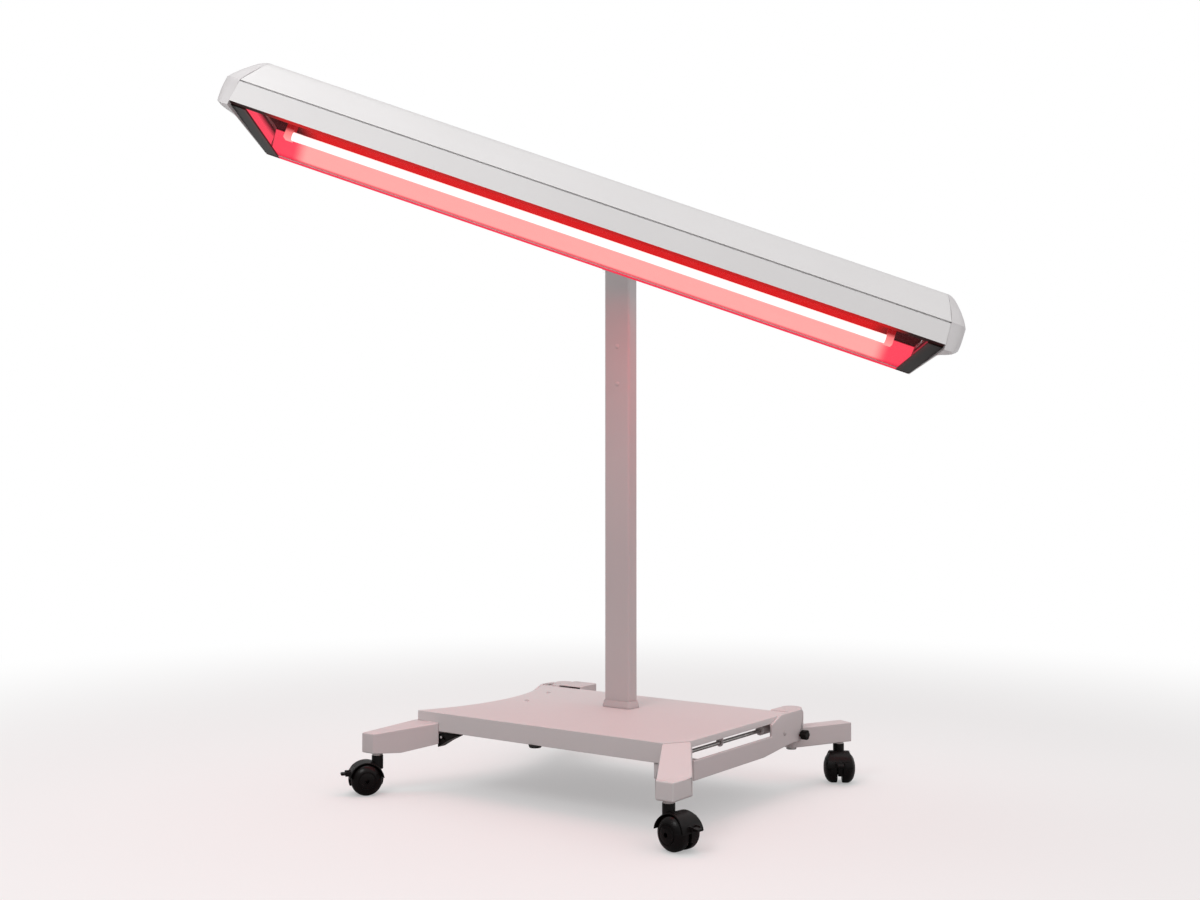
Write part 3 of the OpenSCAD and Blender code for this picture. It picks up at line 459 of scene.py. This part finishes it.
# faces with many corners are split, since the bevel turns a concave one inside out
def mergedCopy(node):
    bm = bmesh.new()
    bm.from_mesh(frame["nodes"][node].data)
    bmesh.ops.remove_doubles(bm, verts=bm.verts, dist=meshWork["mergeGap"])
    bmesh.ops.dissolve_limit(bm, angle_limit=math.radians(meshWork["flatAngle"]),
                             verts=bm.verts, edges=bm.edges)
    large = [face for face in bm.faces if len(face.verts) > meshWork["mostCorners"]]
    bmesh.ops.triangulate(bm, faces=large, ngon_method="EAR_CLIP")
    return bm


def addBevel(piece, width, segments, angle):
    bevel = piece.modifiers.new("edges", "BEVEL")
    bevel.limit_method = "ANGLE"
    bevel.angle_limit = math.radians(angle)
    bevel.width = width
    bevel.segments = segments
    bevel.profile = meshWork["profile"]
    bevel.use_clamp_overlap = False
    bevel.harden_normals = True


def finishPiece(node, bm, material, width, segments, angle):
    paintNode(node, material)
    piece = newPiece(node + "_rounded", bm, material)
    addBevel(piece, width, segments, angle)
    return settle(piece, node)


# material, width of the round edge in metres, segments, and the least angle that is rounded
roundedNodes = {
    "deck": ("deckPaint", 0.0011, 3, 40),
    "side_rail_right": ("basePaint", 0.0018, 3, 35),
    "lug_left": ("basePaint", 0.0018, 3, 35),
    "front_arm_right": ("deckPaint", 0.0036, 5, 30),
    "front_arm_left": ("basePaint", 0.0024, 4, 35),
    "rear_arm_right": ("basePaint", 0.0016, 3, 40),
    "rear_arm_left": ("basePaint", 0.0016, 3, 40),
    "rod_hangers": ("basePaint", 0.0005, 2, 40),
    "post_foot": ("postPaintAndShade", 0.0008, 2, 50),
    "post_tube": ("postPaintAndShade", 0.0004, 2, 50),
    "clamp_collar": ("basePaint", 0.0012, 3, 40),
    "mast_head": ("basePaint", 0.001, 3, 40),
    "swivel_hub": ("basePaint", 0.001, 3, 40),
    "lock_pedal": ("blackPlastic", 0.0015, 3, 30),
    "power_inlet": ("blackPlastic", 0.0004, 2, 40),
    "rocker": ("switchLens", 0.0006, 3, 30),
    "bumper": ("bumperRubber", 0.001, 3, 40),
    "height_knob": ("blackPlastic", 0.0015, 3, 40),
    "roll_knob": ("blackPlastic", 0.0015, 3, 40),
    "arm_knob_right": ("blackPlastic", 0.001, 3, 40),
    "arm_knob_left": ("blackPlastic", 0.001, 3, 40),
    "roof_bracket": ("zincSteel", 0.0008, 2, 40),
    "rear_pivot_bolts": ("zincSteel", 0.0006, 2, 50),
    "tilt_pin": ("zincSteel", 0.0006, 2, 50),
    "roll_shaft": ("zincSteel", 0.0006, 2, 50),
}
plainNodes = {
    "linkage_rod": "zincSteel", "button_screws": "postPaintAndShade", "bracket_bolts": "zincSteel",
    "post_bush": "blackPlastic", "inner_mast": "basePaint", "reflector": "troughReflector",
    "window": "clearPane", "lamp_tube": "litTube", "lamp_sockets": "litSocket",
    "ballast": "zincSteel", "terminal_block": "ceramic",
}
for corner in corners:
    roundedNodes["brake_" + corner] = ("blackPlastic", 0.0008, 3, 50)
    plainNodes["stem_" + corner] = "zincSteel"

for node, spec in roundedNodes.items():
    finishPiece(node, mergedCopy(node), *spec)
for node, material in plainNodes.items():
    paintNode(node, material)
print("pieces: %d rounded" % len(roundedNodes))


# the head's shell in its own frame; seamBack is how far the roof's ends curve back at the ridge
headShell = {
    "halfLength": 0.6565, "groove": 0.044, "height": 0.126, "seamBack": 0.008, "endBand": 0.001,
    "underside": 0.0022, "facingDown": -0.5,
    "roofEdges": (0.0009, 3, 35), "panelEdges": (0.0012, 3, 40),
}


def seamCurve(z):
    lift = max(0, z - headShell["groove"]) / (headShell["height"] - headShell["groove"])
    return headShell["seamBack"] * lift * lift


def makeRoof():
    bm = mergedCopy("roof_cover")
    bmesh.ops.transform(bm, matrix=toHead, verts=bm.verts)
    for vert in bm.verts:
        if abs(vert.co.x) > headShell["halfLength"] - headShell["endBand"]:
            vert.co.x -= math.copysign(seamCurve(vert.co.z), vert.co.x)
    bmesh.ops.transform(bm, matrix=headMatrix, verts=bm.verts)
    finishPiece("roof_cover", bm, "shellPaint", *headShell["roofEdges"])


# side panels: white outside; the flange below gets the trough's painted glow, painted light from
# the lamp
def makePanel(node):
    piece = finishPiece(node, mergedCopy(node), "shellPaint", *headShell["panelEdges"])
    piece.data.materials.append(materials["troughReflector"])
    for face in piece.data.polygons:
        place = toHead @ face.center
        normal = toHead.to_3x3() @ face.normal
        if place.z < headShell["underside"] and normal.z < headShell["facingDown"]:
            face.material_index = 1


makeRoof()
makePanel("side_panel_front")
makePanel("side_panel_rear")

# black end pieces: the CAD's bars with upright plates that close the trough's ends; the plates'
# inner faces get the painted glow of the ends
endPlate = {"inner": 0.6500, "outer": 0.6560, "halfWidth": 0.124, "low": 0.0002, "high": 0.0445,
            "sameFace": 0.0001, "edges": (0.0009, 3, 40)}


def addBox(bm, low, high, matrix):
    place = Matrix.Translation((Vector(low) + Vector(high)) / 2)
    scale = Matrix.Diagonal((*(Vector(high) - Vector(low)), 1))
    bmesh.ops.create_cube(bm, size=1, matrix=matrix @ place @ scale)


def makeBezelBars():
    bm = mergedCopy("bezel_bars")
    for side in (-1, 1):
        low, high = sorted((side * endPlate["inner"], side * endPlate["outer"]))
        addBox(bm, (low, -endPlate["halfWidth"], endPlate["low"]),
               (high, endPlate["halfWidth"], endPlate["high"]), headMatrix)
    piece = finishPiece("bezel_bars", bm, "bezelBlack", *endPlate["edges"])
    piece.data.materials.append(materials["litEnd"])
    for face in piece.data.polygons:
        if abs(abs((toHead @ face.center).x) - endPlate["inner"]) < endPlate["sameFace"]:
            face.material_index = 1


makeBezelBars()

# the inlet's cover stands a little above the deck, as one block with the lug beside it
inletCover = {"from": 0.150, "rise": 0.005, "edges": (0.0012, 3, 40)}


def makeInletCover():
    bm = mergedCopy("inlet_cover")
    for vert in bm.verts:
        if vert.co.z > inletCover["from"]:
            vert.co.z += inletCover["rise"]
    finishPiece("inlet_cover", bm, "basePaint", *inletCover["edges"])


makeInletCover()

# casters: rest directions in degrees, the rest in metres
casters = {
    "front_right": {"stem": (0.335, -0.340), "turn": -10},
    "front_left": {"stem": (-0.337, -0.340), "turn": 231},
    "rear_right": {"stem": (0.33287, 0.29094), "turn": -60},
    "rear_left": {"stem": (-0.33287, 0.29094), "turn": 190},
}
# one wheel's profile as (radius, distance from the middle of the pair)
casterWheel = {
    "trail": 0.022, "axle": 0.030, "steps": 48, "mergeGap": 0.000001,
    "profile": [(0.0041, 0.0046), (0.0270, 0.0046), (0.0290, 0.0050), (0.0299, 0.0062),
                (0.0300, 0.0085), (0.0300, 0.0150), (0.0297, 0.0172), (0.0287, 0.0196),
                (0.0268, 0.0223), (0.0240, 0.0250), (0.0205, 0.0273), (0.0180, 0.0285),
                (0.0172, 0.0286), (0.0168, 0.0279), (0.0160, 0.0278), (0.0155, 0.0289),
                (0.0120, 0.0302), (0.0080, 0.0309), (0.0041, 0.0311)],
}
# the mudguard: what is above "from", outside "radius" and beyond "side" narrows towards the top
casterGuard = {"from": 0.036, "rise": 0.0275, "shrink": 0.24, "radius": 0.029, "side": 0.02,
               "edges": (0.0007, 3, 40)}


def casterMatrix(corner):
    spec = casters[corner]
    return Matrix.Translation((*spec["stem"], 0)) @ turnMatrix(spec["turn"], "Z")


def makeWheels(corner):
    bm = bmesh.new()
    hub = Matrix.Translation((casterWheel["trail"], 0, casterWheel["axle"]))
    for side in (-1, 1):
        ring = [bm.verts.new((r, side * y, 0)) for r, y in casterWheel["profile"]]
        edges = [bm.edges.new(pair) for pair in zip(ring, ring[1:] + ring[:1])]
        bmesh.ops.spin(bm, geom=edges, cent=(0, 0, 0), axis=(0, 1, 0), angle=math.tau,
                       steps=casterWheel["steps"], use_merge=True)
    bmesh.ops.remove_doubles(bm, verts=bm.verts, dist=casterWheel["mergeGap"])
    bmesh.ops.recalc_face_normals(bm, faces=bm.faces)
    bmesh.ops.transform(bm, matrix=casterMatrix(corner) @ hub, verts=bm.verts)
    node = "wheels_" + corner
    paintNode(node, "wheelPlastic")
    settle(newPiece(node + "_domed", bm, "wheelPlastic", meshWork["mouldedAngle"]), node)


def makeHood(corner):
    guard = casterGuard
    bm = mergedCopy("hood_" + corner)
    place = casterMatrix(corner)
    bmesh.ops.transform(bm, matrix=place.inverted(), verts=bm.verts)
    for vert in bm.verts:
        x, y, z = vert.co
        reach = math.hypot(x - casterWheel["trail"], z - casterWheel["axle"])
        if z > guard["from"] and reach > guard["radius"] and abs(y) > guard["side"]:
            lift = (z - guard["from"]) / guard["rise"]
            vert.co.y *= 1 - guard["shrink"] * lift * lift
    bmesh.ops.transform(bm, matrix=place, verts=bm.verts)
    finishPiece("hood_" + corner, bm, "blackPlastic", *guard["edges"])


for corner in corners:
    makeWheels(corner)
    makeHood(corner)
print("pieces: shell, bars, cover and casters shaped")

# end caps: the head's section swept outwards as a pillow, its lower edge cut up behind the
# front corner; the slope is in degrees, roundness bends the pillow, and scales are its rings
endCap = {
    "halfWidth": 0.144, "lean": 0.013, "ridgeHalf": 0.060, "slope": 39.7, "ridgeSteps": 8,
    "hang": 0.008, "step": 0.006, "pivotHeight": 0.055,
    "depth": 0.035, "depthHeight": 0.038, "depthFall": 3.1, "roundness": 4.5,
    "scales": [1.0, 0.9985, 0.994, 0.986, 0.974, 0.955, 0.93, 0.89, 0.83, 0.74, 0.6, 0.42, 0.22],
    "cornerFrom": -0.118, "cornerTo": -0.078, "chamfer": 0.047, "lowDepth": 0.15,
}


# the head's section, seen along it: the two sides, the slopes and the rounded ridge
def capOutline():
    slope = math.radians(endCap["slope"])
    radius = endCap["ridgeHalf"] / math.sin(slope)
    centre = headShell["height"] - radius
    eave = endCap["halfWidth"] - endCap["lean"]
    fall = (eave - endCap["ridgeHalf"]) * math.tan(slope)
    eaveHeight = centre + radius * math.cos(slope) - fall
    steps = endCap["ridgeSteps"]
    turns = [slope * i / steps for i in range(-steps, steps + 1)]
    points = [(-endCap["halfWidth"], -endCap["hang"]), (-eave, headShell["groove"]),
              (-eave, eaveHeight)]
    points += [(radius * math.sin(turn), centre + radius * math.cos(turn)) for turn in turns]
    points += [(eave, eaveHeight), (eave, headShell["groove"]), (endCap["halfWidth"], 0)]
    fine = []
    for (y0, z0), (y1, z1) in zip(points, points[1:] + points[:1]):
        parts = max(1, round(math.hypot(y1 - y0, z1 - z0) / endCap["step"]))
        fine += [(y0 + (y1 - y0) * i / parts, z0 + (z1 - z0) * i / parts) for i in range(parts)]
    return fine


# how far the cap stands out at a place across the head
def capDepth(y, z):
    depth = endCap["depth"] - endCap["depthFall"] * (z - endCap["depthHeight"]) ** 2
    behind = (y - endCap["cornerFrom"]) / (endCap["cornerTo"] - endCap["cornerFrom"])
    behind = min(1, max(0, behind))
    behind = behind * behind * (3 - 2 * behind)
    rise = min(1, max(endCap["lowDepth"], z / endCap["chamfer"]))
    return depth * (1 - behind * (1 - rise))


def makeCap(side, node):
    bm = bmesh.new()
    outline = capOutline()
    pivot = endCap["pivotHeight"]
    rings, loops = [], []
    for k in endCap["scales"]:
        bulge = (1 - k ** endCap["roundness"]) ** (1 / endCap["roundness"])
        ring = []
        for y, z in outline:
            ry, rz = y * k, pivot + (z - pivot) * k
            reach = headShell["halfLength"] - seamCurve(z) + capDepth(ry, rz) * bulge
            ring.append(bm.verts.new((side * reach, ry, rz)))
        rings.append(ring)
        loops.append([bm.edges.new(pair) for pair in zip(ring, ring[1:] + ring[:1])])
    for inner, outer in zip(loops, loops[1:]):
        bmesh.ops.bridge_loops(bm, edges=inner + outer)
    bm.faces.new(rings[-1])
    bm.faces.new(rings[0])
    bmesh.ops.recalc_face_normals(bm, faces=bm.faces)
    bmesh.ops.transform(bm, matrix=headMatrix, verts=bm.verts)
    paintNode(node, "capPlastic")
    settle(newPiece(node + "_moulded", bm, "capPlastic", meshWork["mouldedAngle"]), node)


makeCap(-1, "end_cap_left")
makeCap(1, "end_cap_right")
print("pieces: end caps made")


# floor and backdrop: white to the camera, grey only where the stand shades it
stage = {
    "radius": 14.0, "segments": 64, "fadeStart": 1.1, "fadeEnd": 2.8, "backdrop": 1.0,
    "tone": (0.57, 0.555, 0.555), "bounce": (0.36, 0.352, 0.352), "lift": 0.35,
}


def makeFloor():
    bm = bmesh.new()
    bmesh.ops.create_circle(bm, cap_ends=True, segments=stage["segments"], radius=stage["radius"])
    mesh = bpy.data.meshes.new("floor")
    bm.to_mesh(mesh)
    bm.free()
    floor = bpy.data.objects.new("floor", mesh)
    bpy.context.scene.collection.objects.link(floor)
    material, tree = newMaterial("floorWhite")
    away = addNode(tree, "ShaderNodeVectorMath", {0: objectPlace(tree)}, operation="LENGTH")
    fade = spread(tree, away.outputs["Value"], stage["fadeStart"], stage["fadeEnd"], 0, 1,
                  smooth=True)
    seen = addNode(tree, "ShaderNodeLightPath").outputs["Is Camera Ray"]
    tone = mixColors(tree, seen, stage["bounce"], stage["tone"])
    diffuse = addNode(tree, "ShaderNodeBsdfDiffuse", {"Color": tone})
    lift = addNode(tree, "ShaderNodeEmission", {
        "Color": (1, 1, 1, 1), "Strength": calculate(tree, "MULTIPLY", seen, stage["lift"]),
    })
    near = addNode(tree, "ShaderNodeAddShader", {0: diffuse.outputs[0], 1: lift.outputs[0]})
    white = addNode(tree, "ShaderNodeEmission", {
        "Color": (1, 1, 1, 1), "Strength": stage["backdrop"],
    })
    mix = addNode(tree, "ShaderNodeMixShader", {
        "Fac": fade, 1: near.outputs[0], 2: white.outputs[0],
    })
    addNode(tree, "ShaderNodeOutputMaterial", {"Surface": mix.outputs[0]})
    mesh.materials.append(material)


makeFloor()

# the sky: white to the camera; its light grows from side to top and leans to the right
worldLight = {"fill": (1.0, 0.99, 0.99), "side": 0.26, "lean": (0.20, 0.10, 0), "top": 0.95,
              "backdrop": 1.0}


def makeWorld():
    world = bpy.data.worlds.new("studio")
    bpy.context.scene.world = world
    world.use_nodes = True
    tree = world.node_tree
    tree.nodes.clear()
    seen = addNode(tree, "ShaderNodeLightPath").outputs["Is Camera Ray"]
    white = addNode(tree, "ShaderNodeBackground", {
        "Color": (1, 1, 1, 1), "Strength": worldLight["backdrop"],
    })
    direction = addNode(tree, "ShaderNodeTexCoord").outputs["Generated"]
    up = addNode(tree, "ShaderNodeSeparateXYZ", {"Vector": direction}).outputs["Z"]
    rising = spread(tree, up, 0, 1, worldLight["side"], worldLight["top"])
    lean = addNode(tree, "ShaderNodeVectorMath", {0: direction, 1: worldLight["lean"]},
                   operation="DOT_PRODUCT")
    fill = addNode(tree, "ShaderNodeBackground", {
        "Color": (*worldLight["fill"], 1),
        "Strength": calculate(tree, "ADD", rising, lean.outputs["Value"]),
    })
    mix = addNode(tree, "ShaderNodeMixShader", {
        "Fac": seen, 1: fill.outputs[0], 2: white.outputs[0],
    })
    addNode(tree, "ShaderNodeOutputWorld", {"Surface": mix.outputs[0]})


makeWorld()

# area lights: place, target, size in metres, watts, colour
lights = {
    "overhead": {"place": (-0.8, -0.2, 5.0), "target": (0, 0, 0.6),
                 "size": 2.8, "watts": 26, "color": (1, 1, 1)},
    "front": {"place": (0.1, -2.3, 2.4), "target": (-0.2, -0.4, 1.2),
              "size": 1.0, "watts": 15, "color": (1, 1, 1)},
}


def makeLight(name, spec):
    data = bpy.data.lights.new(name, "AREA")
    data.size = spec["size"]
    data.energy = spec["watts"]
    data.color = spec["color"]
    light = bpy.data.objects.new(name, data)
    light.location = spec["place"]
    aim = Vector(spec["target"]) - Vector(spec["place"])
    light.rotation_euler = aim.to_track_quat("-Z", "Y").to_euler()
    bpy.context.scene.collection.objects.link(light)


for name, spec in lights.items():
    makeLight(name, spec)

# the red light that the head throws on the stand and the floor
glowLight = {"length": 1.1, "width": 0.16, "watts": 1.5, "color": (1.0, 0.12, 0.15),
             "below": 0.006}


def makeGlowLight():
    data = bpy.data.lights.new("headGlow", "AREA")
    data.shape = "RECTANGLE"
    data.size = glowLight["length"]
    data.size_y = glowLight["width"]
    data.energy = glowLight["watts"]
    data.color = glowLight["color"]
    light = bpy.data.objects.new("headGlow", data)
    light.matrix_world = headMatrix @ Matrix.Translation((0, 0, -glowLight["below"]))
    bpy.context.scene.collection.objects.link(light)
    light.visible_camera = False
    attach(light, "head")


makeGlowLight()
print("stage: floor, world and lights made")
